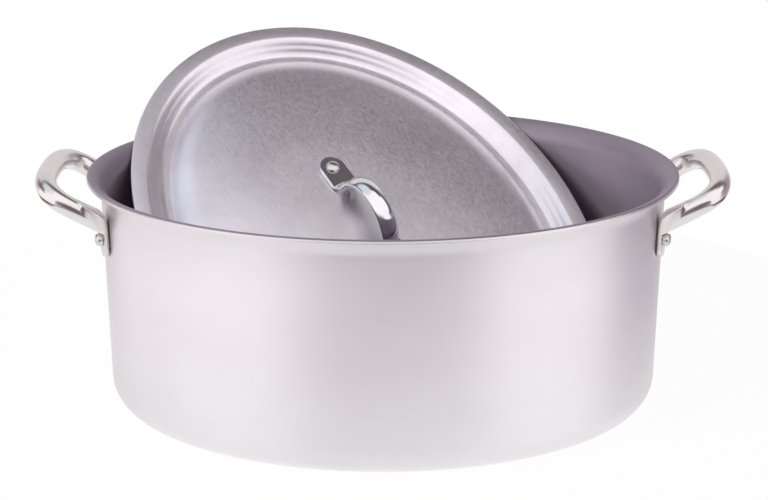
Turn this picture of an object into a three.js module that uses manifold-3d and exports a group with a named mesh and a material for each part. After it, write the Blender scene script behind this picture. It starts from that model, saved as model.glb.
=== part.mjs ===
// Oval casserole pot with two riveted side handles, and its lid leaning inside it.
// Millimetres, +Z up, X along the long axis. The origin is the middle of the underside.
import * as THREE from "three";
import { mergeVertices } from "three/addons/utils/BufferGeometryUtils.js";
import Module from "manifold-3d";

// Pot shell
const rimLength = 384;
const rimWidth = 294;
const potHeight = 159;
const wallThickness = 3;
const floorThickness = 4;
const wallDraft = 0.53;
const baseRadius = 20.7;
const lipReach = 8.8;
const lipTurn = 72;

// Coating on the inside, over the lip and onto its rounded edge
const coatThickness = 0.4;
const coatGap = 0.1;
const coatEdgeTurn = 50;

// Side handles
const handleGrip = 13.5;
const handleReach = 40.6;
const handleLugSpan = 76.5;
const handleOverRim = 5.4;
const rootUnderRim = 22.5;
const handleLegSwing = 33;
const handleGripSwing = 32;
const handleRisePower = 2.7;
const lugWidth = 13.4;
const lugPower = 7;
const lugThickness = 3;
const lugUnderRivet = 11.5;
const creaseReach = 0.16;
const creaseRise = 0.2;
const creaseBand = 0.125;

// Rivets of the side handles
const rivetUnderRoot = 13;
const rivetShank = 6;
const rivetHead = 8.5;
const rivetHeadHeight = 4.2;
const rivetHeadPower = 3.4;

// Lid sheet, sunk to centre itself in the mouth
const lidThickness = 2;
const lidPlay = 3.2;
const stepRun = 5.5;
const stepDrop = 8.5;
const stepRadius = 1.6;
const grooveWidth = 9;
const shoulderRun = 19;
const shoulderRise = 11.5;
const lidCrown = 3;

// Bridge handle of the lid
const bridgeRivetSpacing = 93;
const bridgeLugWidth = 19;
const bridgeThickness = 2;
const bridgeSpan = 65.5;
const bridgeRise = 22.3;
const bridgeFootRadius = 7;
const bridgeWidth = 13.2;
const bridgeCrown = 2.8;
const lidRivetShank = 5;
const lidRivetHead = 9.5;
const lidRivetHeadHeight = 2.4;
const lidRivetTail = 8.5;
const lidRivetTailHeight = 1.8;
const lidRivetPower = 2.2;

// How the lid leans: its normal's tilt and compass heading, and the turn of its long axis
const leanTilt = 33.2;
const leanHeading = -75.7;
const leanTurn = 20.4;

// Clearances
const seatGap = 0.3;
const holeGap = 0.3;
const lidRestGap = 0.35;

// Facets
const ovalSides = 56;
const arcSteps = 5;
const tubeSides = 16;
const loopSteps = 7;
const loopStart = 0.32;
const lugBendSteps = 3;
const creaseSteps = 2;
const swellSteps = 3;
const footSteps = 4;
const bowSteps = 6;
const rivetSides = 16;
const roundEnd = [0.97, 0.8, 0.5, 0];
const panelRings = [0.78, 0.55, 0.3];
const strapStations = [-1, -0.8, -0.45, 0, 0.45, 0.8, 1];

const wasm = await Module();
wasm.setup();

const rad = THREE.MathUtils.degToRad;
const up = new THREE.Vector3(0, 0, 1);
const coatDepth = coatGap + coatThickness;

// Steps from 0 to 1, both ends included
function steps(count) {
  return Array.from({ length: count + 1 }, (_, i) => i / count);
}

// A closed surface over rings of points; the first and last ring are single points
function skin(rings) {
  const points = rings.flat();
  const starts = [];
  let total = 0;
  for (const ring of rings) {
    starts.push(total);
    total += ring.length;
  }
  const faces = [];
  for (let i = 0; i + 1 < rings.length; i++) {
    const low = rings[i].length;
    const high = rings[i + 1].length;
    for (let j = 0; j < Math.max(low, high); j++) {
      const a = starts[i] + (j % low);
      const b = starts[i] + ((j + 1) % low);
      const c = starts[i + 1] + (j % high);
      const d = starts[i + 1] + ((j + 1) % high);
      if (a !== b) faces.push(a, b, d);
      if (c !== d) faces.push(a, d, c);
    }
  }
  const geometry = new THREE.BufferGeometry().setFromPoints(points);
  geometry.setIndex(faces);
  return geometry;
}

// Rings of a bar are closed off by the middle point of each end ring
function capped(rings) {
  const middle = (ring) =>
    ring.reduce((sum, p) => sum.add(p), new THREE.Vector3()).divideScalar(ring.length);
  return skin([[middle(rings[0])], ...rings, [middle(rings.at(-1))]]);
}

// Points of the rim's outline moved out by an offset and scaled towards the middle
function ovalRing(offset, z, scale = 1) {
  const a = (rimLength / 2 + offset) * scale;
  const b = (rimWidth / 2 + offset) * scale;
  return Array.from({ length: ovalSides }, (_, k) => {
    const angle = (2 * Math.PI * k) / ovalSides;
    return new THREE.Vector3(a * Math.cos(angle), b * Math.sin(angle), z);
  });
}

function pole(z) {
  return [new THREE.Vector3(0, 0, z)];
}

// Joining and cutting
function toSolid(geometry) {
  const bare = geometry.clone();
  bare.deleteAttribute("normal");
  bare.deleteAttribute("uv");
  const merged = mergeVertices(bare, 1e-4);
  const vertProperties = merged.getAttribute("position").array;
  const triVerts = new Uint32Array(merged.index.array);
  return new wasm.Manifold(new wasm.Mesh({ numProp: 3, vertProperties, triVerts }));
}

function toGeometry(solid) {
  const mesh = solid.getMesh();
  const geometry = new THREE.BufferGeometry();
  geometry.setAttribute("position", new THREE.BufferAttribute(mesh.vertProperties, 3));
  geometry.setIndex(new THREE.BufferAttribute(mesh.triVerts, 1));
  return geometry;
}

function cut(geometry, tools) {
  let solid = toSolid(geometry);
  for (const tool of tools) solid = solid.subtract(toSolid(tool));
  return toGeometry(solid);
}

// Moves a shape made along +Z so that it starts at a point and runs along a direction
function aim(geometry, start, direction) {
  const turn = new THREE.Quaternion().setFromUnitVectors(up, direction);
  return geometry.applyQuaternion(turn).translate(start.x, start.y, start.z);
}

// A shape of revolution about +Z, from points of radius and height
function revolve(points, sides) {
  const profile = points.map(([radius, height]) => new THREE.Vector2(radius, height));
  return new THREE.LatheGeometry(profile, sides).rotateX(Math.PI / 2);
}

// The rounded end of a rivet, squarer as the power grows; a height below zero turns it down
function rivetDome(diameter, base, height, power) {
  return steps(arcSteps).map((k) => {
    const angle = (k * Math.PI) / 2;
    const round = (v) => Math.max(0, v) ** (2 / power);
    const radius = k === 1 ? 0 : (diameter / 2) * round(Math.cos(angle));
    return [radius, base + height * round(Math.sin(angle))];
  });
}

function drill(diameter, start, direction, length) {
  const radius = diameter / 2;
  const hole = revolve([[0, 0], [radius, 0], [radius, length], [0, length]], rivetSides);
  return aim(hole, start, direction);
}

// Pot section: offset from the rim's outline, and height
const draftSlope = Math.tan(rad(wallDraft));
const lipCos = Math.cos(rad(lipTurn));
const lipSin = Math.sin(rad(lipTurn));
const halfWall = wallThickness / 2;
const lipRadius = (lipReach - halfWall + halfWall * lipCos) / (1 - lipCos);
const lipStart = potHeight - halfWall - (lipRadius + halfWall) * lipSin;

function wallOffset(z) {
  return -lipReach - (lipStart - z) * draftSlope;
}

// One face of the shell, by its depth inwards from the outside face, up to a turn of the lip
function shellFace(depth, floor, turn) {
  const radius = baseRadius - depth;
  const corner = new THREE.Vector2(wallOffset(floor + radius) - depth - radius, floor + radius);
  const face = steps(arcSteps).map((k) => {
    const angle = -Math.PI / 2 + (k * Math.PI) / 2;
    return [corner.x + radius * Math.cos(angle), corner.y + radius * Math.sin(angle)];
  });
  for (const k of steps(arcSteps)) {
    const angle = k * rad(turn);
    const lip = lipRadius + depth;
    face.push([-lipReach + lipRadius - lip * Math.cos(angle), lipStart + lip * Math.sin(angle)]);
  }
  return face;
}

function ovalRings(face) {
  return face.map(([offset, z]) => ovalRing(offset, z));
}

// A point round the lip's edge, by the height over its surface and the turn from the inside face outwards
function edgePoint(height, turn) {
  const angle = Math.PI - rad(lipTurn + turn);
  const middle = lipRadius + halfWall;
  const radius = halfWall + height;
  const offset = -lipReach + lipRadius - middle * lipCos + radius * Math.cos(angle);
  return [offset, lipStart + middle * lipSin + radius * Math.sin(angle)];
}

function makePotBody(holes) {
  const outside = shellFace(0, 0, lipTurn);
  const inside = shellFace(wallThickness, floorThickness, lipTurn);
  const edge = [135, 90, 45].map((turn) => edgePoint(0, turn));
  const section = [...outside, ...edge, ...inside.reverse()];
  return cut(skin([pole(0), ...ovalRings(section), pole(floorThickness)]), holes);
}

function coatFace(depth) {
  const face = shellFace(wallThickness + depth, floorThickness + depth, lipTurn);
  return [...face, edgePoint(depth, coatEdgeTurn / 2), edgePoint(depth, coatEdgeTurn)];
}

function makeCoat() {
  const back = coatFace(coatGap);
  const front = coatFace(coatDepth);
  const section = [...back, ...front.reverse()];
  const floor = floorThickness + coatGap;
  return skin([pole(floor), ...ovalRings(section), pole(floor + coatThickness)]);
}

// Where a handle lug sits: a point of the outside wall at a height, and the wall's outward direction
function wallSeat(y, z) {
  const a = rimLength / 2 + wallOffset(z);
  const b = rimWidth / 2 + wallOffset(z);
  const x = a * Math.sqrt(1 - (y / b) ** 2);
  const out = new THREE.Vector3(x / a ** 2, y / b ** 2, 0).normalize();
  return { point: new THREE.Vector3(x, y, z), out };
}

// One section of a handle bar: a rounded oblong on two half-axes, squarer as the power grows
function barRing(centre, across, through, power) {
  return Array.from({ length: tubeSides }, (_, k) => {
    const angle = (2 * Math.PI * k) / tubeSides;
    const round = (v) => Math.sign(v) * Math.abs(v) ** (2 / power);
    return centre
      .clone()
      .addScaledVector(across, round(Math.cos(angle)))
      .addScaledVector(through, round(Math.sin(angle)));
  });
}

// Centre line of a handle from its root at the lug to its middle: a plan curve that rises as it goes
const handleTop = potHeight + handleOverRim;
const handleRootHeight = potHeight - rootUnderRim;
const rivetHeight = handleRootHeight - rivetUnderRoot;
const lugBottom = rivetHeight - lugUnderRivet;
const legHalf = handleGrip / 2;
const gripRise = handleTop - legHalf - handleRootHeight;
const legSeat = wallSeat(-handleLugSpan / 2, handleRootHeight);
const legRoot = legSeat.point.clone().addScaledVector(legSeat.out, legHalf);
const gripReach = wallSeat(0, handleRootHeight).point.x + handleReach - legHalf;
const handlePlan = new THREE.CubicBezierCurve3(
  legRoot,
  legRoot.clone().addScaledVector(legSeat.out, handleLegSwing),
  new THREE.Vector3(gripReach, -handleGripSwing, 0),
  new THREE.Vector3(gripReach, 0, 0),
);

function handlePoint(t) {
  const height = handleRootHeight + gripRise * (1 - (1 - t) ** handleRisePower);
  return handlePlan.getPoint(t).setZ(height);
}

// The two directions square to the centre line, both as long as the bar's radius: level and upwards
function barSides(t) {
  const nudge = 0.01;
  const along = handlePoint(Math.min(1, t + nudge)).sub(handlePoint(t - nudge)).normalize();
  const across = up.clone().cross(along).normalize();
  const through = along.clone().cross(across);
  return { across: across.multiplyScalar(legHalf), through: through.multiplyScalar(legHalf) };
}

// Places beside a lug, by the distance from the wall and the height
const lugOuter = seatGap + lugThickness;
const lugFlatTop = rivetHeight + rivetHead / 2 + seatGap;

function lugPoint(distance, height) {
  return legSeat.point.clone().setZ(height).addScaledVector(legSeat.out, distance);
}

function barTop(t) {
  return handlePoint(t).add(barSides(t).through);
}

function barUnder(t) {
  return handlePoint(t).sub(barSides(t).through);
}

// The underside from the lug's outer face at -1 to the root of the bar at 0, and along the bar from there
function legUnder(t) {
  if (t >= 0) return barUnder(t);
  return lugPoint(lugOuter, lugFlatTop).lerp(barUnder(0), 1 + t);
}

// One section of the lug or the leg, from its underside to its top
function section(low, high, across, power) {
  const centre = high.clone().add(low).divideScalar(2);
  const through = high.clone().sub(low).divideScalar(2);
  return barRing(centre, across, through, power);
}

// The lug: a flat-sided strip with a rounded bottom that bends out and ends in a slanted crease
function lugRings() {
  const half = lugWidth / 2;
  const across = up.clone().cross(legSeat.out).multiplyScalar(half);
  const rounded = roundEnd.map((k) => {
    const z = lugBottom + half * (1 - k);
    const width = across.clone().multiplyScalar(Math.sqrt(1 - k * k));
    return section(lugPoint(lugOuter, z), lugPoint(seatGap, z), width, lugPower);
  });
  const legTop = barTop(0);
  const legSlope = Math.atan2(gripRise * handleRisePower, 3 * handleLegSwing);
  const overhang = legTop.clone().sub(legSeat.point).dot(legSeat.out) - seatGap;
  const wallSide = new THREE.QuadraticBezierCurve3(
    lugPoint(seatGap, lugFlatTop),
    lugPoint(seatGap, legTop.z - overhang * Math.tan(legSlope)),
    legTop,
  );
  const bend = steps(lugBendSteps).map((k) =>
    section(legUnder(-1 + (k * creaseRise) / 2), wallSide.getPoint(k), across, lugPower),
  );
  const flat = steps(creaseSteps).slice(1).map((k) =>
    section(legUnder(-1 + ((1 + k) * creaseRise) / 2), barTop(k * creaseReach), across, lugPower),
  );
  return [...rounded, ...bend, ...flat];
}

// The bar, round from the crease on: its sections turn from the crease's slant to square, then follow the loop
function legRings() {
  const lowStart = creaseRise * (1 + creaseBand) - 1;
  const highStart = creaseReach * (1 + creaseBand);
  const swell = steps(swellSteps).slice(0, -1).map((k) => {
    const low = THREE.MathUtils.lerp(lowStart, loopStart, k);
    const high = THREE.MathUtils.lerp(highStart, loopStart, k);
    return section(legUnder(low), barTop(high), barSides(high).across, 2);
  });
  const loop = steps(loopSteps).map((k) => {
    const t = THREE.MathUtils.lerp(loopStart, 1, k);
    const { across, through } = barSides(t);
    return barRing(handlePoint(t), across, through, 2);
  });
  return [...swell, ...loop];
}

function makeHandle(holes) {
  const front = [...lugRings(), ...legRings()];
  const mirrored = (ring) => ring.map((p) => new THREE.Vector3(p.x, -p.y, p.z));
  const back = front.slice(0, -1).reverse().map(mirrored);
  return cut(capped([...front, ...back]), holes);
}

// Rivet of a side handle: a thick round head outside, and a shank that ends flush inside the wall
const rivetSeat = seatGap + lugThickness + seatGap;

function makeHandleRivet() {
  const shank = rivetShank / 2;
  const tip = seatGap - wallThickness;
  const head = rivetDome(rivetHead, rivetSeat, rivetHeadHeight, rivetHeadPower);
  return revolve([[0, tip], [shank, tip], [shank, rivetSeat], ...head], rivetSides);
}

function rivetHole(y) {
  const seat = wallSeat(y, rivetHeight);
  const reach = 2 * (wallThickness + seatGap + lugThickness);
  const start = seat.point.clone().addScaledVector(seat.out, -reach);
  return drill(rivetShank + 2 * holeGap, start, seat.out, 2 * reach);
}

// Lid section: inward distance from the rim's outline, and height over the flange's top
const grooveStart = lipReach + wallThickness + coatDepth + lidThickness + lidPlay;
const flangeWidth = grooveStart - stepRun;
const shoulderStart = grooveStart + grooveWidth;
const panelStart = shoulderStart + shoulderRun;
const panelEdge = shoulderRise - stepDrop;

function lidTop() {
  const slope = Math.hypot(stepRun, stepDrop);
  const dip = [(stepRadius * stepRun) / slope, (stepRadius * stepDrop) / slope];
  const top = [
    [0, 0],
    [flangeWidth - stepRadius, 0],
    [flangeWidth + dip[0], -dip[1]],
    [grooveStart - dip[0], dip[1] - stepDrop],
    [grooveStart + stepRadius, -stepDrop],
  ];
  for (const k of steps(arcSteps)) {
    const wave = (1 - Math.cos(Math.PI * k)) / 2;
    top.push([shoulderStart + shoulderRun * k, shoulderRise * wave - stepDrop]);
  }
  return top;
}

// The sheet's other face: each point moved down its own normal by the thickness
function lidUnder(top) {
  return top.map(([inward, height], i) => {
    const before = top[Math.max(0, i - 1)];
    const after = top[Math.min(top.length - 1, i + 1)];
    const run = after[0] - before[0];
    const rise = after[1] - before[1];
    const length = i === 0 ? run : Math.hypot(run, rise);
    const lean = i === 0 ? 0 : rise / length;
    return [inward + lidThickness * lean, height - (lidThickness * run) / length];
  });
}

function crownHeight(scale) {
  return panelEdge + lidCrown * (1 - scale * scale);
}

function makeLid(holes) {
  const top = lidTop();
  const rings = (face) => face.map(([inward, z]) => ovalRing(-inward, z));
  const dome = (drop) => panelRings.map((k) => ovalRing(-panelStart, crownHeight(k) - drop, k));
  const upper = [...rings(top), ...dome(0), pole(crownHeight(0))];
  const lower = [...rings(lidUnder(top)), ...dome(lidThickness), pole(crownHeight(0) - lidThickness)];
  return cut(skin([...lower.reverse(), ...upper]), holes);
}

// Bridge handle: half the path of the strip, from a rounded lug over a foot bend into a round bow
const bridgeSeat = crownHeight(0) + seatGap;
const panelLength = rimLength - 2 * panelStart;
const bowTurn = 2 * Math.atan2(bridgeRise, bridgeSpan / 2);
const bowRadius = bridgeSpan / 2 / Math.sin(bowTurn) - bridgeFootRadius;

function bridgeStations() {
  const lift = bridgeSeat + bridgeThickness / 2;
  const lugEnd = (bridgeRivetSpacing + bridgeLugWidth) / 2;
  const halfLug = bridgeLugWidth / 2;
  const footCrown = bridgeCrown / 2;
  const station = (x, z, angle, width, crown) => ({ x, z: lift + z, angle, width, crown });
  const lug = roundEnd.map((k) =>
    station(lugEnd - halfLug * (1 - k), 0, 0, bridgeLugWidth * Math.sqrt(1 - k * k), 0),
  );
  const foot = steps(footSteps).map((k) => {
    const angle = k * bowTurn;
    const x = bridgeSpan / 2 - bridgeFootRadius * Math.sin(angle);
    const z = bridgeFootRadius * (1 - Math.cos(angle));
    const width = THREE.MathUtils.lerp(bridgeLugWidth, bridgeWidth, k);
    return station(x, z, angle, width, footCrown * k);
  });
  const bow = steps(bowSteps).slice(1).map((k) => {
    const angle = bowTurn * (1 - k);
    const x = bowRadius * Math.sin(angle);
    const z = bridgeRise - bowRadius * (1 - Math.cos(angle));
    return station(x, z, angle, bridgeWidth, THREE.MathUtils.lerp(footCrown, bridgeCrown, k));
  });
  return [...lug, ...foot, ...bow];
}

function bridgeRing({ x, z, angle, width, crown }, side) {
  const outX = Math.sin(angle);
  const outZ = Math.cos(angle);
  const point = (k, half) => {
    const lift = crown * (1 - k * k) + half;
    return new THREE.Vector3(side * (x + outX * lift), side * k * (width / 2), z + outZ * lift);
  };
  const face = (half) => strapStations.map((k) => point(k, half));
  const upper = face(bridgeThickness / 2);
  const lower = face(-bridgeThickness / 2).reverse();
  const ring = [...upper, ...lower];
  return side > 0 ? ring : [...upper.reverse(), ...lower.reverse()];
}

function makeBridge(holes) {
  const half = bridgeStations();
  const right = half.map((s) => bridgeRing(s, 1));
  const left = half.slice(0, -1).reverse().map((s) => bridgeRing(s, -1));
  return cut(capped([...right, ...left]), holes);
}

// Rivet of the lid: a low round head on the strip and a rounded tail under the sheet
function makeLidRivet() {
  const shank = lidRivetShank / 2;
  const seat = bridgeSeat + bridgeThickness + seatGap;
  const under = crownHeight(bridgeRivetSpacing / panelLength) - lidThickness - seatGap;
  const head = rivetDome(lidRivetHead, seat, lidRivetHeadHeight, lidRivetPower);
  const tail = rivetDome(lidRivetTail, under, -lidRivetTailHeight, lidRivetPower).reverse();
  return revolve([...tail, [shank, under], [shank, seat], ...head], rivetSides);
}

function lidRivetHole(side) {
  const depth = 2 * (shoulderRise + lidCrown);
  const start = new THREE.Vector3((side * bridgeRivetSpacing) / 2, 0, bridgeSeat - depth / 2);
  return drill(lidRivetShank + 2 * holeGap, start, new THREE.Vector3(0, 0, 1), depth);
}

// Offset of a point from the rim's outline, by the faceted oval of the same family that it lies on
function ovalOffset(x, y) {
  const flat = Math.cos(Math.PI / ovalSides);
  let offset = 0;
  for (let i = 0; i < 8; i++) {
    const a = rimLength / 2 + offset;
    const b = rimWidth / 2 + offset;
    const q = Math.hypot(x / a, y / b) / flat;
    const slope = (x ** 2 / a ** 3 + y ** 2 / b ** 3) / q;
    offset = Math.max(offset + (q - 1) / slope, -rimWidth / 2 + 1);
  }
  return offset;
}

// Distance of a point of the section from the coated inside, positive inside the pot
function insideGap(face, offset, z) {
  let least = Infinity;
  let side = 1;
  for (let i = 0; i + 1 < face.length; i++) {
    const [ax, az] = face[i];
    const [bx, bz] = face[i + 1];
    const dx = bx - ax;
    const dz = bz - az;
    const along = ((offset - ax) * dx + (z - az) * dz) / (dx * dx + dz * dz);
    const k = Math.min(1, Math.max(0, along));
    const gap = Math.hypot(offset - ax - k * dx, z - az - k * dz);
    if (gap >= least) continue;
    least = gap;
    side = Math.sign(dx * (z - az) - dz * (offset - ax)) || 1;
  }
  return side * least;
}

// The leaning lid sinks until it touches the coating; its place is the lowest that stays clear
function lidRest(turn) {
  const widestStep = rimWidth / 16;
  const finestStep = 0.01;
  const directions = 12;
  const floor = floorThickness + coatDepth;
  const face = [[-rimWidth / 2, floor], ...coatFace(coatDepth)];
  const low = -stepDrop - lidThickness;
  const outlines = [
    ovalRing(0, 0),
    ovalRing(0, -lidThickness),
    ovalRing(lidThickness - grooveStart, low),
    ovalRing(-shoulderStart, low),
  ];
  const points = outlines.flat().map((p) => p.applyMatrix4(turn));
  const clear = (x, y, z) => {
    let least = Infinity;
    for (const p of points) {
      if (p.z + z > potHeight) continue;
      least = Math.min(least, insideGap(face, ovalOffset(p.x + x, p.y + y), p.z + z));
    }
    return least;
  };
  const roomiest = (z, from) => {
    const spot = { x: from.x, y: from.y, gap: clear(from.x, from.y, z) };
    for (let step = widestStep; step > finestStep; step /= 2) {
      for (let k = 0; k < directions; k++) {
        const angle = (2 * Math.PI * k) / directions;
        const x = spot.x + step * Math.cos(angle);
        const y = spot.y + step * Math.sin(angle);
        const gap = clear(x, y, z);
        if (gap > spot.gap) Object.assign(spot, { x, y, gap });
      }
    }
    return spot;
  };
  let under = floor;
  let over = potHeight + rimLength;
  let place = { x: 0, y: 0 };
  while (over - under > finestStep) {
    const z = (under + over) / 2;
    const spot = roomiest(z, place);
    if (spot.gap < lidRestGap) {
      under = z;
    } else {
      over = z;
      place = spot;
    }
  }
  return new THREE.Vector3(place.x, place.y, over);
}

// Materials
const metal = (color, roughness) =>
  new THREE.MeshStandardMaterial({ color, roughness, metalness: 1 });
const satinAluminium = metal(0xd9d6d8, 0.42);
const lidAluminium = metal(0xb4b0b6, 0.36);
const polishedSteel = metal(0xd8d2cc, 0.12);
const chromedSteel = metal(0xc9ccd0, 0.08);
const rivetMetal = metal(0xb9b6ac, 0.3);
const coating = new THREE.MeshStandardMaterial({ color: 0x6a5f6c, roughness: 0.5, metalness: 0 });

function piece(parent, name, geometry, material) {
  const mesh = new THREE.Mesh(geometry, material);
  mesh.name = name;
  parent.add(mesh);
  return mesh;
}

// Assembly
const casserole = new THREE.Group();
const lugSides = { front: -1, back: 1 };
const lugY = handleLugSpan / 2;
const holes = Object.values(lugSides).map((side) => rivetHole(side * lugY));
const oppositeHoles = holes.map((hole) => hole.clone().rotateZ(Math.PI));
piece(casserole, "pot_body", makePotBody([...holes, ...oppositeHoles]), satinAluminium);
piece(casserole, "nonstick_lining", makeCoat(), coating);

const handleTurns = { right: 0, left: Math.PI };
for (const [end, turn] of Object.entries(handleTurns)) {
  const group = new THREE.Group();
  group.rotation.z = turn;
  casserole.add(group);
  piece(group, `handle_${end}`, makeHandle(holes), polishedSteel);
  for (const [place, side] of Object.entries(lugSides)) {
    const seen = turn === 0 ? place : Object.keys(lugSides).find((other) => other !== place);
    const seat = wallSeat(side * lugY, rivetHeight);
    const rivet = aim(makeHandleRivet(), seat.point, seat.out);
    piece(group, `handle_rivet_${end}_${seen}`, rivet, rivetMetal);
  }
}

const heading = new THREE.Group();
const tilt = new THREE.Group();
const lid = new THREE.Group();
heading.rotation.z = rad(leanHeading);
tilt.rotation.y = rad(leanTilt);
lid.rotation.z = rad(leanTurn);
casserole.add(heading.add(tilt.add(lid)));
heading.updateMatrixWorld(true);
heading.position.copy(lidRest(lid.matrixWorld));

const lidEnds = { lower: 1, upper: -1 };
const lidHoles = Object.values(lidEnds).map(lidRivetHole);
piece(lid, "lid_panel", makeLid(lidHoles), lidAluminium);
piece(lid, "lid_handle", makeBridge(lidHoles), chromedSteel);
for (const [end, side] of Object.entries(lidEnds)) {
  const rivet = makeLidRivet().translate((side * bridgeRivetSpacing) / 2, 0, 0);
  piece(lid, `lid_rivet_${end}`, rivet, rivetMetal);
}

export default casserole;
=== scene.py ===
# Oval casserole pot with riveted side handles, its lid leaning inside it, on a pale studio floor.
# Sizes are in millimetres and turned into metres as each mesh is made. X runs along the pot, Z is up.
import math

import bpy
import numpy as np
from mathutils import Matrix, Vector


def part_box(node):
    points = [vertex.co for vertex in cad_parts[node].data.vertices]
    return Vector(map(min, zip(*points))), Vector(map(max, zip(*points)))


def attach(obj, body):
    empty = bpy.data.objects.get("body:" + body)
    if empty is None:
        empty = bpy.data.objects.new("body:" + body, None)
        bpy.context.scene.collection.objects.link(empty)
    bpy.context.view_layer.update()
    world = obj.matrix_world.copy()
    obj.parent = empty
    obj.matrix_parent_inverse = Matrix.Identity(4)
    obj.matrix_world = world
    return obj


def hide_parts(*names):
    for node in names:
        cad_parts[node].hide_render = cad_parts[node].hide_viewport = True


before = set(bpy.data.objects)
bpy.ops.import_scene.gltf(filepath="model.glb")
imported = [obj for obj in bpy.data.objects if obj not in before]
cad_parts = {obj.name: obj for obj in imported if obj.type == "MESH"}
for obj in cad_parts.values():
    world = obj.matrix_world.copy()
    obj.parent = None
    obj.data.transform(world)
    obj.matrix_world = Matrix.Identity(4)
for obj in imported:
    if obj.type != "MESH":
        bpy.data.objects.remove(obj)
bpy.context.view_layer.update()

MM = 0.001

# Pot shell
RIM_LENGTH = 384
RIM_WIDTH = 294
POT_HEIGHT = 159
WALL = 3
FLOOR = 4
WALL_DRAFT = math.radians(0.53)
BASE_RADIUS = 20.7
LIP_REACH = 8.8
LIP_TURN = math.radians(72)

# Coating inside, over the lip and onto its rounded edge
COAT = 0.4
COAT_GAP = 0.1
COAT_EDGE_TURN = math.radians(50)

# Side handles
GRIP = 13.5
HANDLE_REACH = 40.6
LUG_SPAN = 76.5
HANDLE_OVER_RIM = 5.4
ROOT_UNDER_RIM = 22.5
LEG_SWING = 33
GRIP_SWING = 32
RISE_POWER = 2.7
LUG_WIDTH = 13.4
LUG_POWER = 7
LUG_THICKNESS = 3
LUG_UNDER_RIVET = 11.5
CREASE_REACH = 0.16
CREASE_RISE = 0.2
CREASE_BAND = 0.125
LOOP_START = 0.32

# Rivets of the side handles
RIVET_UNDER_ROOT = 13
RIVET_SHANK = 6
RIVET_HEAD = 8.5
RIVET_HEAD_HEIGHT = 4.2
RIVET_POWER = 3.4

# Lid sheet, with the step's two forming rings and a panel that rises steeply and eases into a dome
LID_SHEET = 2
LID_EDGE = 0.9
LID_PLAY = 3.2
STEP_RUN = 5.5
STEP_DROP = 8.5
STEP_RADIUS = 4.5
STEP_SPREAD = 4
STEP_RINGS = 2
STEP_RING_HEIGHT = 0.06
GROOVE_WIDTH = 9
SHOULDER_RUN = 19
SHOULDER_RISE = 8.5
SHOULDER_POWER = 2.4
LID_CROWN = 6
CROWN_POWER = 3
PANEL_SLOPE = 0.15

# Bridge handle of the lid
BRIDGE_RIVETS = 93
BRIDGE_LUG = 19
BRIDGE_SHEET = 2
BRIDGE_SPAN = 65.5
BRIDGE_RISE = 22.3
BRIDGE_FOOT = 7
BRIDGE_WIDTH = 13.2
BRIDGE_CROWN = 2.8
LID_RIVET_SHANK = 5
LID_RIVET_HEAD = 9.5
LID_RIVET_HEAD_HEIGHT = 2.4
LID_RIVET_TAIL = 8.5
LID_RIVET_TAIL_HEIGHT = 1.8
LID_RIVET_POWER = 2.2

# How the lid leans
LEAN_TILT = math.radians(33.2)
LEAN_HEADING = math.radians(-75.7)
LEAN_TURN = math.radians(20.4)

SEAT_GAP = 0.3

# Fineness of the meshes
OVAL_SIDES = 240
ARC_STEPS = 18
TUBE_SIDES = 64
LOOP_STEPS = 56
BEND_STEPS = 18
RIVET_SIDES = 48
STRAP_STEPS = 14
RING_STEPS = 25
EDGE_STEPS = 9
CORNER_STEPS = 7
LIP_EDGE_STEPS = 15
COAT_EDGE_STEPS = 8
FLOOR_SIDES = 96
ROUND_START = math.radians(4)
NUDGE = 0.01
TINY = 1e-6

# Edges sharper than this are drawn as creases
SHEET_CREASE = math.radians(38)
BAR_CREASE = math.radians(50)

# Camera of the photograph: frame size and focal length in pixels, distance and aim in millimetres
PHOTO_WIDTH = 768
FOCAL_PIXELS = 1732.5
CAMERA_DISTANCE = 1148.2
CAMERA_DOWN = math.radians(19.345)
CAMERA_AIM = 102.4
CAMERA_OFFSET_PIXELS = 1.03
SENSOR_WIDTH = 36
CAMERA_CLIP = 0.05


# Meshes over rings of points
def finish_mesh(name, points, faces, crease=SHEET_CREASE):
    mesh = bpy.data.meshes.new(name)
    mesh.from_pydata([tuple(p) for p in np.asarray(points, float) * MM], [], faces)
    mesh.update()
    mesh.polygons.foreach_set("use_smooth", [True] * len(mesh.polygons))
    mesh.set_sharp_from_angle(angle=crease)
    piece = bpy.data.objects.new(name, mesh)
    bpy.context.scene.collection.objects.link(piece)
    return piece


def skin(name, rings, **options):
    points = np.concatenate([np.atleast_2d(r) for r in rings])
    starts = np.cumsum([0] + [len(np.atleast_2d(r)) for r in rings])
    faces = []
    for i in range(len(rings) - 1):
        low = starts[i + 1] - starts[i]
        high = starts[i + 2] - starts[i + 1]
        for j in range(max(low, high)):
            corners = [
                starts[i] + j % low,
                starts[i] + (j + 1) % low,
                starts[i + 1] + (j + 1) % high,
                starts[i + 1] + j % high,
            ]
            faces.append(tuple(int(c) for c in dict.fromkeys(corners)))
    return finish_mesh(name, points, faces, **options)


def capped(name, rings, **options):
    first, last = [np.mean(ring, axis=0)[None] for ring in (rings[0], rings[-1])]
    return skin(name, [first, *rings, last], **options)


def oval(offset, z, scale=1.0):
    angle = np.linspace(0, 2 * math.pi, OVAL_SIDES, endpoint=False)
    x = (RIM_LENGTH / 2 + offset) * scale * np.cos(angle)
    y = (RIM_WIDTH / 2 + offset) * scale * np.sin(angle)
    return np.stack([x, y, np.full_like(angle, z)], axis=1)


def pole(z):
    return np.array([[0, 0, z]], float)


def revolve(name, profile):
    angle = np.linspace(0, 2 * math.pi, RIVET_SIDES, endpoint=False)
    rings = []
    for radius, height in profile:
        if radius < TINY:
            rings.append(pole(height))
            continue
        flat = np.full_like(angle, height)
        rings.append(np.stack([radius * np.cos(angle), radius * np.sin(angle), flat], axis=1))
    return skin(name, rings)


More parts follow.
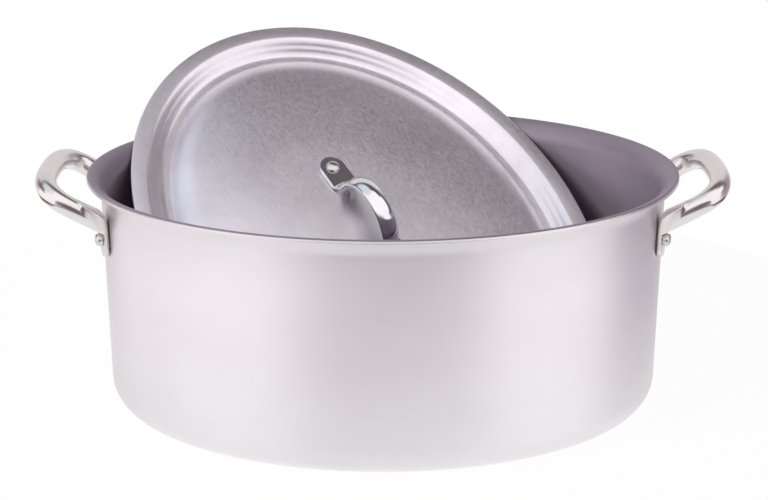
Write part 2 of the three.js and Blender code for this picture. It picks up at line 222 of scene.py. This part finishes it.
# Pot section: offset from the rim's outline, and height
HALF_WALL = WALL / 2
LIP_COS = math.cos(LIP_TURN)
LIP_SIN = math.sin(LIP_TURN)
LIP_RADIUS = (LIP_REACH - HALF_WALL + HALF_WALL * LIP_COS) / (1 - LIP_COS)
LIP_START = POT_HEIGHT - HALF_WALL - (LIP_RADIUS + HALF_WALL) * LIP_SIN
COAT_DEPTH = COAT_GAP + COAT


def wall_offset(z):
    return -LIP_REACH - (LIP_START - z) * math.tan(WALL_DRAFT)


def shell_face(depth, floor, turn):
    radius = BASE_RADIUS - depth
    middle = (wall_offset(floor + radius) - depth - radius, floor + radius)
    face = []
    for angle in np.linspace(-math.pi / 2, 0, ARC_STEPS):
        face.append((middle[0] + radius * math.cos(angle), middle[1] + radius * math.sin(angle)))
    for angle in np.linspace(0, turn, ARC_STEPS):
        lip = LIP_RADIUS + depth
        face.append((LIP_RADIUS - LIP_REACH - lip * math.cos(angle), LIP_START + lip * math.sin(angle)))
    return face


# A point round the lip's edge, by the height over its surface and the turn from the inside face outwards
def edge_point(height, turn):
    angle = math.pi - LIP_TURN - turn
    middle = LIP_RADIUS + HALF_WALL
    radius = HALF_WALL + height
    offset = LIP_RADIUS - LIP_REACH - middle * LIP_COS + radius * math.cos(angle)
    return offset, LIP_START + middle * LIP_SIN + radius * math.sin(angle)


def make_pot():
    outside = shell_face(0, 0, LIP_TURN)
    inside = shell_face(WALL, FLOOR, LIP_TURN)
    edge = [edge_point(0, turn) for turn in np.linspace(math.pi, 0, LIP_EDGE_STEPS)[1:-1]]
    section = outside + edge + inside[::-1]
    return skin("pot_shell", [pole(0), *[oval(o, z) for o, z in section], pole(FLOOR)])


def coat_face(depth):
    turns = np.linspace(0, COAT_EDGE_TURN, COAT_EDGE_STEPS)[1:]
    inside = shell_face(WALL + depth, FLOOR + depth, LIP_TURN)
    return inside + [edge_point(depth, turn) for turn in turns]


def make_lining():
    section = coat_face(COAT_GAP) + coat_face(COAT_DEPTH)[::-1]
    rings = [oval(o, z) for o, z in section]
    return skin("lining_skin", [pole(FLOOR + COAT_GAP), *rings, pole(FLOOR + COAT_DEPTH)])


# Side handles: a flat lug that bends out and swells into a round bar, then one rising loop
def wall_seat(y, z):
    a = RIM_LENGTH / 2 + wall_offset(z)
    b = RIM_WIDTH / 2 + wall_offset(z)
    x = a * math.sqrt(1 - (y / b) ** 2)
    out = np.array([x / a**2, y / b**2, 0])
    return np.array([x, y, z]), out / np.linalg.norm(out)


LEG_HALF = GRIP / 2
HANDLE_TOP = POT_HEIGHT + HANDLE_OVER_RIM
ROOT_HEIGHT = POT_HEIGHT - ROOT_UNDER_RIM
RIVET_HEIGHT = ROOT_HEIGHT - RIVET_UNDER_ROOT
LUG_BOTTOM = RIVET_HEIGHT - LUG_UNDER_RIVET
GRIP_RISE = HANDLE_TOP - LEG_HALF - ROOT_HEIGHT
SEAT_POINT, SEAT_OUT = wall_seat(-LUG_SPAN / 2, ROOT_HEIGHT)
UP = np.array([0, 0, 1.0])


def bezier(corners, t):
    weights = [(1 - t) ** 3, 3 * t * (1 - t) ** 2, 3 * t * t * (1 - t), t**3]
    return sum(w * c for w, c in zip(weights, corners))


def handle_point(t):
    root = SEAT_POINT + SEAT_OUT * LEG_HALF
    reach = wall_seat(0, ROOT_HEIGHT)[0][0] + HANDLE_REACH - LEG_HALF
    swing = root + SEAT_OUT * LEG_SWING
    corners = [root, swing, np.array([reach, -GRIP_SWING, 0]), np.array([reach, 0, 0])]
    place = bezier(corners, t)
    place[2] = ROOT_HEIGHT + GRIP_RISE * (1 - (1 - t) ** RISE_POWER)
    return place


def bar_ring(centre, across, through, power):
    angle = np.linspace(0, 2 * math.pi, TUBE_SIDES, endpoint=False)
    soft = lambda v: np.sign(v) * np.abs(v) ** (2 / power)
    return centre + np.outer(soft(np.cos(angle)), across) + np.outer(soft(np.sin(angle)), through)


def bar_sides(t):
    along = handle_point(min(1, t + NUDGE)) - handle_point(t - NUDGE)
    along /= np.linalg.norm(along)
    across = np.cross(UP, along)
    across /= np.linalg.norm(across)
    return across * LEG_HALF, np.cross(along, across) * LEG_HALF


LUG_OUTER = SEAT_GAP + LUG_THICKNESS
LUG_FLAT_TOP = RIVET_HEIGHT + RIVET_HEAD / 2 + SEAT_GAP


def lug_point(distance, height):
    return np.array([*SEAT_POINT[:2], height]) + SEAT_OUT * distance


def bar_top(t):
    return handle_point(t) + bar_sides(t)[1]


# The underside from the lug's outer face at -1 to the root of the bar at 0, and along the bar from there
def leg_under(t):
    if t >= 0:
        return handle_point(t) - bar_sides(t)[1]
    start = lug_point(LUG_OUTER, LUG_FLAT_TOP)
    return start + (leg_under(0) - start) * (1 + t)


def section(low, high, across, power):
    return bar_ring((high + low) / 2, across, (high - low) / 2, power)


# The lug: a flat-sided strip with a rounded bottom that bends out and ends in a slanted crease
def lug_rings():
    half = LUG_WIDTH / 2
    across = np.cross(UP, SEAT_OUT) * half
    rings = []
    for angle in np.linspace(ROUND_START, math.pi / 2, BEND_STEPS):
        z = LUG_BOTTOM + half * (1 - math.cos(angle))
        width = across * math.sin(angle)
        rings.append(section(lug_point(LUG_OUTER, z), lug_point(SEAT_GAP, z), width, LUG_POWER))
    leg_top = bar_top(0)
    slope = math.atan2(GRIP_RISE * RISE_POWER, 3 * LEG_SWING)
    overhang = float((leg_top - SEAT_POINT) @ SEAT_OUT) - SEAT_GAP
    start = lug_point(SEAT_GAP, LUG_FLAT_TOP)
    corner = lug_point(SEAT_GAP, leg_top[2] - overhang * math.tan(slope))
    for k in np.linspace(0, 1, BEND_STEPS):
        inner = (1 - k) ** 2 * start + 2 * k * (1 - k) * corner + k * k * leg_top
        rings.append(section(leg_under(-1 + k * CREASE_RISE / 2), inner, across, LUG_POWER))
    for k in np.linspace(0, 1, BEND_STEPS)[1:]:
        low = leg_under(-1 + (1 + k) * CREASE_RISE / 2)
        rings.append(section(low, bar_top(k * CREASE_REACH), across, LUG_POWER))
    return rings


# The bar, round from the crease on: its sections turn from the crease's slant to square on the loop
def leg_rings():
    high_start = CREASE_REACH * (1 + CREASE_BAND)
    run = LOOP_START - high_start
    first = leg_under(CREASE_RISE * (1 + CREASE_BAND) - 1)
    last = leg_under(LOOP_START)
    slope = (leg_under(LOOP_START + NUDGE) - leg_under(LOOP_START - NUDGE)) / (2 * NUDGE)
    corners = [first, (first + leg_under(0)) / 2, last - slope * run / 3, last]
    rings = []
    for k in np.linspace(0, 1, 2 * BEND_STEPS)[:-1]:
        high = high_start + run * k
        rings.append(section(bezier(corners, k), bar_top(high), bar_sides(high)[0], 2))
    for t in np.linspace(LOOP_START, 1, LOOP_STEPS):
        across, through = bar_sides(t)
        rings.append(bar_ring(handle_point(t), across, through, 2))
    return rings


def make_handle(name):
    front = lug_rings() + leg_rings()
    back = [ring * np.array([1, -1, 1]) for ring in front[-2::-1]]
    return capped(name, front + back, crease=BAR_CREASE)


def dome(diameter, base, height, power):
    points = []
    for angle in np.linspace(0, math.pi / 2, ARC_STEPS):
        radius = diameter / 2 * max(0, math.cos(angle)) ** (2 / power)
        at_tip = angle > math.pi / 2 - TINY
        points.append((0 if at_tip else radius, base + height * math.sin(angle) ** (2 / power)))
    return points


def make_handle_rivet(name, y):
    seat = SEAT_GAP + LUG_THICKNESS + SEAT_GAP
    tip = SEAT_GAP - WALL
    shank = RIVET_SHANK / 2
    head = dome(RIVET_HEAD, seat, RIVET_HEAD_HEIGHT, RIVET_POWER)
    piece = revolve(name, [(0, tip), (shank, tip), (shank, seat), *head])
    point, out = wall_seat(y, RIVET_HEIGHT)
    turn = Vector((0, 0, 1)).rotation_difference(Vector(out)).to_matrix().to_4x4()
    piece.data.transform(Matrix.Translation(Vector(point) * MM) @ turn)
    return piece


# Lid section: inward distance from the rim's outline, and height over the flange's top
GROOVE_START = LIP_REACH + WALL + COAT_DEPTH + LID_SHEET + LID_PLAY
FLANGE_WIDTH = GROOVE_START - STEP_RUN
SHOULDER_START = GROOVE_START + GROOVE_WIDTH
PANEL_START = SHOULDER_START + SHOULDER_RUN
PANEL_EDGE = SHOULDER_RISE - STEP_DROP


def corner_arc(before, corner, after, radius):
    first = (before - corner) / np.linalg.norm(before - corner)
    second = (after - corner) / np.linalg.norm(after - corner)
    half_angle = math.acos(float(first @ second)) / 2
    reach = radius / math.tan(half_angle)
    start = corner + first * reach
    end = corner + second * reach
    points = []
    for k in np.linspace(0, 1, CORNER_STEPS):
        points.append((1 - k) ** 2 * start + 2 * k * (1 - k) * corner + k * k * end)
    return points


# Fine rings that forming left along the step
def step_rings(start, end):
    along = end - start
    out = np.array([-along[1], along[0]]) / np.linalg.norm(along)
    points = []
    for k in np.linspace(0, 1, RING_STEPS)[1:-1]:
        wave = math.sin(2 * math.pi * STEP_RINGS * k)
        points.append(start + along * k + out * STEP_RING_HEIGHT * wave)
    return points


def lid_top():
    corners = [
        np.array([0.0, 0.0]),
        np.array([FLANGE_WIDTH, 0.0]),
        np.array([GROOVE_START + STEP_SPREAD, -STEP_DROP]),
        np.array([SHOULDER_START, -STEP_DROP]),
    ]
    top = [corners[0] + np.array([LID_EDGE, 0.0])]
    over = corner_arc(*corners[:3], STEP_RADIUS)
    foot = corner_arc(*corners[1:], STEP_RADIUS)
    top += over + step_rings(over[-1], foot[0]) + foot
    steep = SHOULDER_RISE - PANEL_SLOPE * SHOULDER_RUN
    for k in np.linspace(0, 1, ARC_STEPS):
        rise = steep * (1 - (1 - k) ** SHOULDER_POWER) + PANEL_SLOPE * SHOULDER_RUN * k
        top.append(np.array([SHOULDER_START + SHOULDER_RUN * k, rise - STEP_DROP]))
    return np.array(top)


def crown_height(scale):
    return PANEL_EDGE + LID_CROWN * (1 - scale**CROWN_POWER)


def make_lid():
    top = lid_top()
    slope = np.gradient(top, axis=0)
    slope /= np.linalg.norm(slope, axis=1)[:, None]
    under = top + LID_SHEET * np.stack([slope[:, 1], -slope[:, 0]], axis=1)
    radius = LID_SHEET / 2
    edge = []
    for angle in np.linspace(-math.pi / 2, math.pi / 2, EDGE_STEPS)[1:-1]:
        edge.append((LID_EDGE * (1 - math.cos(angle)), radius * math.sin(angle) - radius))
    rings = lambda face: [oval(-inward, z) for inward, z in face]
    scales = np.linspace(1, 0, ARC_STEPS)[1:-1]
    panel = lambda drop: [oval(-PANEL_START, crown_height(k) - drop, k) for k in scales]
    upper = rings(top) + panel(0) + [pole(crown_height(0))]
    lower = rings(under) + panel(LID_SHEET) + [pole(crown_height(0) - LID_SHEET)]
    return skin("lid_sheet", lower[::-1] + rings(edge) + upper)


# Bridge handle: a strip from a rounded lug over a foot bend into a round bow, with rounded edges
BRIDGE_SEAT = crown_height(0) + SEAT_GAP
PANEL_LENGTH = RIM_LENGTH - 2 * PANEL_START
BOW_TURN = 2 * math.atan2(BRIDGE_RISE, BRIDGE_SPAN / 2)
BOW_RADIUS = BRIDGE_SPAN / 2 / math.sin(BOW_TURN) - BRIDGE_FOOT


def bridge_stations():
    end = (BRIDGE_RIVETS + BRIDGE_LUG) / 2
    half = BRIDGE_LUG / 2
    foot_crown = BRIDGE_CROWN / 2
    stations = []
    for angle in np.linspace(ROUND_START, math.pi / 2, STRAP_STEPS):
        stations.append((end - half * (1 - math.cos(angle)), 0, 0, BRIDGE_LUG * math.sin(angle), 0))
    for k in np.linspace(0, 1, STRAP_STEPS):
        turn = k * BOW_TURN
        x = BRIDGE_SPAN / 2 - BRIDGE_FOOT * math.sin(turn)
        ease = k * k * (3 - 2 * k)
        width = BRIDGE_LUG + (BRIDGE_WIDTH - BRIDGE_LUG) * ease
        stations.append((x, BRIDGE_FOOT * (1 - math.cos(turn)), turn, width, foot_crown * ease))
    for k in np.linspace(0, 1, 2 * STRAP_STEPS)[1:]:
        turn = BOW_TURN * (1 - k)
        z = BRIDGE_RISE - BOW_RADIUS * (1 - math.cos(turn))
        crown = foot_crown + (BRIDGE_CROWN - foot_crown) * k
        stations.append((BOW_RADIUS * math.sin(turn), z, turn, BRIDGE_WIDTH, crown))
    return stations


def bridge_ring(x, z, turn, width, crown):
    out = np.array([math.sin(turn), 0, math.cos(turn)])
    half = BRIDGE_SHEET / 2
    centre = np.array([x, 0, BRIDGE_SEAT + half + z])
    edge = min(half, width / 4)
    reach = width / 2 - edge
    outline = [(k * reach, half) for k in np.linspace(-1, 1, STRAP_STEPS)]
    for angle in np.linspace(math.pi / 2, -math.pi / 2, EDGE_STEPS)[1:-1]:
        outline.append((reach + edge * math.cos(angle), half * math.sin(angle)))
    outline += [(k * reach, -half) for k in np.linspace(1, -1, STRAP_STEPS)]
    for angle in np.linspace(-math.pi / 2, -3 * math.pi / 2, EDGE_STEPS)[1:-1]:
        outline.append((-reach + edge * math.cos(angle), half * math.sin(angle)))
    points = []
    for side, lift in outline:
        bulge = crown * (1 - (2 * side / width) ** 2)
        points.append(centre + out * (lift + bulge) + np.array([0, side, 0]))
    return np.array(points)


def make_bridge():
    half = [bridge_ring(*station) for station in bridge_stations()]
    other = [ring * np.array([-1, 1, 1]) for ring in half[-2::-1]]
    return capped("lid_bridge", half + other, crease=BAR_CREASE)


def make_lid_rivet(name, side):
    seat = BRIDGE_SEAT + BRIDGE_SHEET + SEAT_GAP
    under = crown_height(BRIDGE_RIVETS / PANEL_LENGTH) - LID_SHEET - SEAT_GAP
    shank = LID_RIVET_SHANK / 2
    head = dome(LID_RIVET_HEAD, seat, LID_RIVET_HEAD_HEIGHT, LID_RIVET_POWER)
    tail = dome(LID_RIVET_TAIL, under, -LID_RIVET_TAIL_HEIGHT, LID_RIVET_POWER)[::-1]
    piece = revolve(name, [*tail, (shank, under), (shank, seat), *head])
    piece.data.transform(Matrix.Translation((side * BRIDGE_RIVETS / 2 * MM, 0, 0)))
    return piece


# Where the lid leans: its own turn, then moved so that its box has the solid's middle
def lid_place(lid):
    turn = (
        Matrix.Rotation(LEAN_HEADING, 4, "Z")
        @ Matrix.Rotation(LEAN_TILT, 4, "Y")
        @ Matrix.Rotation(LEAN_TURN, 4, "Z")
    )
    points = np.array([turn @ v.co for v in lid.data.vertices])
    middle = Vector((points.min(0) + points.max(0)) / 2)
    low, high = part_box("lid_panel")
    return Matrix.Translation((low + high) / 2 - middle) @ turn


# Node materials
class Nodes:
    def __init__(self, name):
        self.material = bpy.data.materials.new(name)
        self.material.use_nodes = True
        self.tree = self.material.node_tree
        self.shader = self.tree.nodes["Principled BSDF"]

    def add(self, kind, settings=None, **inputs):
        made = self.tree.nodes.new(kind)
        for key, value in (settings or {}).items():
            setattr(made, key, value)
        for key, value in inputs.items():
            self.feed(made, key.replace("_", " "), value)
        return made

    def feed(self, target, socket, value):
        if isinstance(value, bpy.types.NodeSocket):
            self.tree.links.new(value, target.inputs[socket])
        else:
            target.inputs[socket].default_value = value

    def place(self, size, turn):
        coordinates = self.add("ShaderNodeTexCoord").outputs["Object"]
        laid = self.add("ShaderNodeMapping", {"vector_type": "TEXTURE"}, Vector=coordinates)
        self.feed(laid, "Rotation", turn)
        self.feed(laid, "Scale", size)
        return laid.outputs["Vector"]

    def noise(self, scale, size=(1, 1, 1), detail=4.0, roughness=0.6, turn=(0, 0, 0)):
        where = self.place(size, turn)
        made = self.add("ShaderNodeTexNoise", Vector=where, Scale=scale, Detail=detail)
        self.feed(made, "Roughness", roughness)
        return made.outputs["Fac"]

    def spread(self, value, low, high, start=0.3, end=0.7):
        made = self.add("ShaderNodeMapRange", Value=value)
        made.inputs["From Min"].default_value = start
        made.inputs["From Max"].default_value = end
        made.inputs["To Min"].default_value = low
        made.inputs["To Max"].default_value = high
        return made.outputs["Result"]

    def mix(self, factor, first, second):
        made = self.add("ShaderNodeMix", {"data_type": "RGBA"})
        self.feed(made, 0, factor)
        made.inputs[6].default_value = (*first, 1)
        made.inputs[7].default_value = (*second, 1)
        return made.outputs[2]

    def bump(self, height, strength, distance, normal=None):
        made = self.add("ShaderNodeBump", Height=height, Strength=strength, Distance=distance)
        if normal is not None:
            self.feed(made, "Normal", normal)
        return made.outputs["Normal"]


# The wall was spun, so its fine grooves draw reflections out up and down
SPIN_GRAIN = 0.8


def pot_metal():
    n = Nodes("pot_satin_aluminium")
    turned = n.noise(60, (0.8, 0.8, 0.04), 6.0, 0.7)
    cloud = n.noise(9, (1, 1, 0.6), 3.0)
    dull, clear = (0.875, 0.843, 0.868), (0.915, 0.888, 0.908)
    n.feed(n.shader, "Base Color", n.mix(n.spread(cloud, 0, 1), dull, clear))
    n.feed(n.shader, "Metallic", 1.0)
    n.feed(n.shader, "Roughness", n.spread(turned, 0.42, 0.5))
    n.feed(n.shader, "Anisotropic", SPIN_GRAIN)
    n.feed(n.shader, "Anisotropic Rotation", 0.25)
    round_axis = n.add("ShaderNodeTangent", {"direction_type": "RADIAL", "axis": "Z"})
    n.feed(n.shader, "Tangent", round_axis.outputs["Tangent"])
    n.feed(n.shader, "Normal", n.bump(turned, 0.05, 0.0004))
    return n.material


def lid_metal(turn):
    n = Nodes("lid_satin_aluminium")
    brushed = n.noise(70, (1.6, 0.11, 0.11), 6.0, 0.7, turn)
    cloud = n.noise(16, (1, 1, 1), 5.0, 0.65)
    grain = n.noise(260, (1, 0.5, 0.5), 5.0, 0.7, turn)
    dull, clear = (0.78, 0.745, 0.785), (0.92, 0.9, 0.94)
    n.feed(n.shader, "Base Color", n.mix(n.spread(cloud, 0, 1), dull, clear))
    n.feed(n.shader, "Metallic", 1.0)
    n.feed(n.shader, "Roughness", n.spread(grain, 0.28, 0.4))
    n.feed(n.shader, "Normal", n.bump(brushed, 0.22, 0.0003, n.bump(grain, 0.16, 0.0002)))
    return n.material


def polished(name, dark, bright, low, high, scale):
    n = Nodes(name)
    wear = n.noise(scale, (1, 1, 1), 4.0)
    n.feed(n.shader, "Base Color", n.mix(n.spread(wear, 0, 1), dark, bright))
    n.feed(n.shader, "Metallic", 1.0)
    n.feed(n.shader, "Roughness", n.spread(wear, low, high))
    n.feed(n.shader, "Normal", n.bump(n.noise(420, (1, 1, 1), 3.0), 0.02, 0.0002))
    return n.material


def coating():
    n = Nodes("nonstick_coating")
    grain = n.noise(900, (1, 1, 1), 3.0)
    cloud = n.noise(14, (1, 1, 1.6), 3.0)
    deep, pale = (0.29, 0.24, 0.298), (0.34, 0.285, 0.352)
    n.feed(n.shader, "Base Color", n.mix(n.spread(cloud, 0, 1), deep, pale))
    n.feed(n.shader, "Metallic", 0.5)
    n.feed(n.shader, "Roughness", n.spread(grain, 0.4, 0.5))
    n.feed(n.shader, "Normal", n.bump(grain, 0.08, 0.0002))
    return n.material


# The floor's share of plain white, which leaves a faint shadow
FLOOR_WHITE = 0.96


def floor_paint():
    n = Nodes("studio_floor")
    tree = n.tree
    n.feed(n.shader, "Base Color", (0.9, 0.9, 0.9, 1))
    n.feed(n.shader, "Roughness", 0.9)
    path = n.add("ShaderNodeLightPath").outputs
    shiny = n.add("ShaderNodeMath", {"operation": "MAXIMUM"})
    tree.links.new(path["Is Glossy Ray"], shiny.inputs[0])
    tree.links.new(path["Is Transmission Ray"], shiny.inputs[1])
    seen = n.add("ShaderNodeMath", {"operation": "MAXIMUM"})
    tree.links.new(path["Is Camera Ray"], seen.inputs[0])
    tree.links.new(shiny.outputs[0], seen.inputs[1])
    share = n.add("ShaderNodeMath", {"operation": "MULTIPLY"})
    tree.links.new(seen.outputs[0], share.inputs[0])
    share.inputs[1].default_value = FLOOR_WHITE
    glow = n.add("ShaderNodeEmission", Color=(1, 1, 1, 1), Strength=1.0)
    both = n.add("ShaderNodeMixShader")
    tree.links.new(share.outputs[0], both.inputs[0])
    tree.links.new(n.shader.outputs[0], both.inputs[1])
    tree.links.new(glow.outputs[0], both.inputs[2])
    tree.links.new(both.outputs[0], tree.nodes["Material Output"].inputs["Surface"])
    return n.material


# Studio: a round pale floor, soft white screens at the sides, a dark room in front and a dark ceiling
FLOOR_RADIUS = 0.42
FLOOR_LEVEL = -0.0003


def make_floor():
    circle = bpy.ops.mesh.primitive_circle_add
    circle(vertices=FLOOR_SIDES, radius=FLOOR_RADIUS, fill_type="NGON", location=(0, 0, FLOOR_LEVEL))
    floor = bpy.context.object
    floor.name = "studio_floor"
    floor.data.materials.append(floor_paint())


# Patches of the surround: the direction of the middle, the cosines where it starts and is full, the colour
ROOM_FRONT = (1.2, 1.16, 1.185)
DARK = (0.075, 0.055, 0.052)
PATCHES = [
    ((0, 1, 0.15), 0.3, 0.75, (0.82, 0.79, 0.81)),
    ((0.9, 0.42, 0.15), 0.74, 0.94, (0.41, 0.34, 0.415)),
    ((-0.8, 0.52, 0.24), 0.95, 0.985, (0.36, 0.29, 0.27)),
]

# The dark room behind the camera: how far it spreads to the sides and how high it reaches
FRONT_WAY = (0.04, -1, 0)
FRONT_SPREAD = (0.76, 0.97)
FRONT_HEIGHT = (0.42, 0.2)
FRONT_DARK = (0.2, 0.147, 0.182)

# A dark ceiling: a band over the pot from side to side, a little behind it
CEILING_DARK = (0.15, 0.125, 0.137)
CEILING_ACROSS = (0, 0.95, -0.3)
CEILING_BAND = ((-0.28, -0.18), (0.25, 0.43))
CEILING_RISE = (0.2, 0.36)

# Screens that hang in front of the ceiling, one up on the left and a small one up on the right
SCREENS = [
    ((-0.5, 0.04, 0.865), 0.865, 0.97, (0.84, 0.87, 0.97)),
    ((0.76, -0.06, 0.65), 0.935, 0.975, (1.2, 1.17, 1.19)),
]

# The dark room under the floor's edge
UNDER_EDGE = (0.34, 0.42)

# The even light of the room on dull surfaces
ROOM_LIGHT = 0.45
ROOM_TINT = (1, 0.985, 0.99, 1)

# The soft lamp: where it stands and aims, its sides and its power
LAMP_PLACE = (-1.3, -1.0, 0.95)
LAMP_AIM = (0, 0, 0.1)
LAMP_SIDE = 0.9
LAMP_POWER = 24


def make_world():
    world = bpy.data.worlds.new("studio_surround")
    bpy.context.scene.world = world
    world.use_nodes = True
    tree = world.node_tree
    tree.nodes.clear()
    link = tree.links.new

    def add(kind, **settings):
        made = tree.nodes.new(kind)
        for key, value in settings.items():
            setattr(made, key, value)
        return made

    way = add("ShaderNodeTexCoord").outputs["Generated"]

    def fade(direction, start, full):
        along = add("ShaderNodeVectorMath", operation="DOT_PRODUCT")
        link(way, along.inputs[0])
        along.inputs[1].default_value = direction
        mask = add("ShaderNodeMapRange", interpolation_type="SMOOTHSTEP")
        link(along.outputs["Value"], mask.inputs["Value"])
        mask.inputs["From Min"].default_value = start
        mask.inputs["From Max"].default_value = full
        return mask.outputs["Result"]

    def both(first, second):
        made = add("ShaderNodeMath", operation="MULTIPLY")
        link(first, made.inputs[0])
        link(second, made.inputs[1])
        return made.outputs[0]

    def lay(mask, below, colour):
        made = add("ShaderNodeMix", data_type="RGBA")
        link(mask, made.inputs[0])
        if isinstance(below, bpy.types.NodeSocket):
            link(below, made.inputs[6])
        else:
            made.inputs[6].default_value = (*below, 1)
        made.inputs[7].default_value = (*colour, 1)
        return made.outputs[2]

    room = ROOM_FRONT
    for direction, start, full, colour in PATCHES:
        room = lay(fade(Vector(direction).normalized(), start, full), room, colour)
    low = fade((0, 0, -1), -FRONT_HEIGHT[0], -FRONT_HEIGHT[1])
    room = lay(both(fade(Vector(FRONT_WAY).normalized(), *FRONT_SPREAD), low), room, FRONT_DARK)
    front, back = CEILING_BAND
    across = Vector(CEILING_ACROSS).normalized()
    over = both(fade(across, *front), fade(-across, -back[1], -back[0]))
    room = lay(both(over, fade((0, 0, 1), *CEILING_RISE)), room, CEILING_DARK)
    for direction, start, full, colour in SCREENS:
        room = lay(fade(Vector(direction).normalized(), start, full), room, colour)
    room = lay(fade((0, 0, -1), *UNDER_EDGE), room, DARK)
    mirrored = add("ShaderNodeBackground")
    link(room, mirrored.inputs[0])
    light = add("ShaderNodeBackground")
    light.inputs[0].default_value = ROOM_TINT
    light.inputs[1].default_value = ROOM_LIGHT
    plain = add("ShaderNodeBackground")
    plain.inputs[0].default_value = (1, 1, 1, 1)
    path = add("ShaderNodeLightPath")
    shiny = add("ShaderNodeMath", operation="MAXIMUM")
    link(path.outputs["Is Glossy Ray"], shiny.inputs[0])
    link(path.outputs["Is Transmission Ray"], shiny.inputs[1])
    lit = add("ShaderNodeMixShader")
    link(shiny.outputs[0], lit.inputs[0])
    link(light.outputs[0], lit.inputs[1])
    link(mirrored.outputs[0], lit.inputs[2])
    whole = add("ShaderNodeMixShader")
    link(path.outputs["Is Camera Ray"], whole.inputs[0])
    link(lit.outputs[0], whole.inputs[1])
    link(plain.outputs[0], whole.inputs[2])
    link(whole.outputs[0], add("ShaderNodeOutputWorld").inputs["Surface"])


def make_lamp():
    data = bpy.data.lights.new("left_softbox", "AREA")
    data.shape = "SQUARE"
    data.size = LAMP_SIDE
    data.energy = LAMP_POWER
    lamp = bpy.data.objects.new("left_softbox", data)
    bpy.context.scene.collection.objects.link(lamp)
    lamp.visible_glossy = False
    lamp.location = LAMP_PLACE
    lamp.rotation_euler = (Vector(LAMP_AIM) - Vector(LAMP_PLACE)).to_track_quat("-Z", "Y").to_euler()


def make_camera():
    data = bpy.data.cameras.new("photo_camera")
    data.sensor_width = SENSOR_WIDTH
    data.lens = FOCAL_PIXELS * data.sensor_width / PHOTO_WIDTH
    data.shift_x = CAMERA_OFFSET_PIXELS / PHOTO_WIDTH
    data.clip_start = CAMERA_CLIP
    camera = bpy.data.objects.new("photo_camera", data)
    bpy.context.scene.collection.objects.link(camera)
    back = CAMERA_DISTANCE * math.cos(CAMERA_DOWN)
    rise = CAMERA_AIM + CAMERA_DISTANCE * math.sin(CAMERA_DOWN)
    camera.location = Vector((0, -back, rise)) * MM
    camera.rotation_euler = (math.pi / 2 - CAMERA_DOWN, 0, 0)
    bpy.context.scene.camera = camera


def dress(piece, node, body, material):
    piece.data.materials.append(material)
    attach(piece, body)
    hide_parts(node)


bpy.context.scene.view_settings.view_transform = "Standard"
make_camera()
make_floor()
make_world()
make_lamp()

steel = polished("polished_steel", (0.74, 0.705, 0.69), (0.82, 0.795, 0.785), 0.17, 0.25, 40)
chrome = polished("chromed_strip", (0.74, 0.75, 0.77), (0.82, 0.83, 0.85), 0.05, 0.1, 60)
rivets = polished("rivet_metal", (0.6, 0.59, 0.56), (0.74, 0.73, 0.7), 0.18, 0.34, 260)

dress(make_pot(), "pot_body", "pot", pot_metal())
dress(make_lining(), "nonstick_lining", "pot", coating())
for end, turn in (("right", 0.0), ("left", math.pi)):
    half_turn = Matrix.Rotation(turn, 4, "Z")
    grip = make_handle(f"grip_{end}")
    grip.data.transform(half_turn)
    dress(grip, f"handle_{end}", "pot", steel)
    for place, side in (("front", -1), ("back", 1)):
        across = side if turn == 0 else -side
        button = make_handle_rivet(f"button_{end}_{place}", across * LUG_SPAN / 2)
        button.data.transform(half_turn)
        dress(button, f"handle_rivet_{end}_{place}", "pot", rivets)

lid = make_lid()
lean = lid_place(lid)
bridge = make_bridge()
lid_satin = lid_metal(lean.to_euler())
lid_pieces = [
    (lid, "lid_panel", "lid_metal", lid_satin),
    (bridge, "lid_handle", "lid_handle_chrome", chrome),
]
for end, side in (("lower", 1), ("upper", -1)):
    button = make_lid_rivet(f"lid_button_{end}", side)
    lid_pieces.append((button, f"lid_rivet_{end}", "rivet_metal", rivets))
for piece, node, slot, material in lid_pieces:
    piece.data.transform(lean)
    dress(piece, node, "lid", material)
